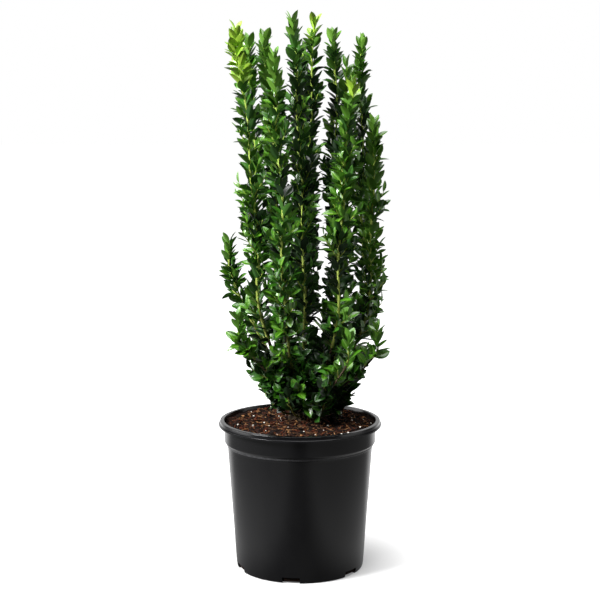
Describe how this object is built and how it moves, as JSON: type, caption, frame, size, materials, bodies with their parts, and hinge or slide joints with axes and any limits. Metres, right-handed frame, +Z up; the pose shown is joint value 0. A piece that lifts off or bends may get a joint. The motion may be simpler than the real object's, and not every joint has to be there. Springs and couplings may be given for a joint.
{
  "type": "potted columnar evergreen shrub",
  "caption": "Narrow upright evergreen shrub with small paired glossy leaves on many straight shoots, in a round tapered black nursery pot.",
  "frame": {"origin": "middle of the pot's flat underside, which stands on the ground", "axes": "+Z up along the pot's axis, -Y towards the viewer of the front, +X to the right of the front"},
  "size_m": [0.2357, 0.225, 0.7633],
  "materials": {
    "black_plastic": "satin black moulded plastic",
    "potting_soil": "loose damp bark and fibre, matte",
    "bark": "thin yellow-brown bark, matte",
    "leaf_green": "glossy dark green leaves on green twigs"
  },
  "bodies": {
    "root": {"pot": "black_plastic", "soil": "potting_soil", "stem_base": "bark", "bough_left_front": "bark", "bough_left_back": "bark", "bough_front_left": "bark", "bough_inner_left": "bark", "bough_back_left": "bark", "bough_front": "bark", "bough_centre": "bark", "bough_back": "bark", "bough_front_right": "bark", "bough_right_centre": "bark", "bough_back_right": "bark", "bough_right": "bark", "bough_right_back": "bark", "bough_far_back": "bark", "bough_far_back_right": "bark", "bough_low_left": "bark", "bough_low_left_front": "bark", "bough_low_front": "bark", "bough_low_right": "bark", "bough_low_back_right": "bark", "bough_low_back": "bark", "bough_low_back_left": "bark", "foliage_left_front": "leaf_green", "foliage_left_back": "leaf_green", "foliage_front_left": "leaf_green", "foliage_inner_left": "leaf_green", "foliage_back_left": "leaf_green", "foliage_front": "leaf_green", "foliage_centre": "leaf_green", "foliage_back": "leaf_green", "foliage_front_right": "leaf_green", "foliage_right_centre": "leaf_green", "foliage_back_right": "leaf_green", "foliage_right": "leaf_green", "foliage_right_back": "leaf_green", "foliage_far_back": "leaf_green", "foliage_far_back_right": "leaf_green", "foliage_low_left": "leaf_green", "foliage_low_left_front": "leaf_green", "foliage_low_front": "leaf_green", "foliage_low_right": "leaf_green", "foliage_low_back_right": "leaf_green", "foliage_low_back": "leaf_green", "foliage_low_back_left": "leaf_green", "foliage_foot_1": "leaf_green", "foliage_foot_2": "leaf_green", "foliage_foot_3": "leaf_green", "foliage_foot_4": "leaf_green", "foliage_foot_5": "leaf_green", "foliage_foot_6": "leaf_green", "foliage_foot_7": "leaf_green"}
  },
  "joints": []
}
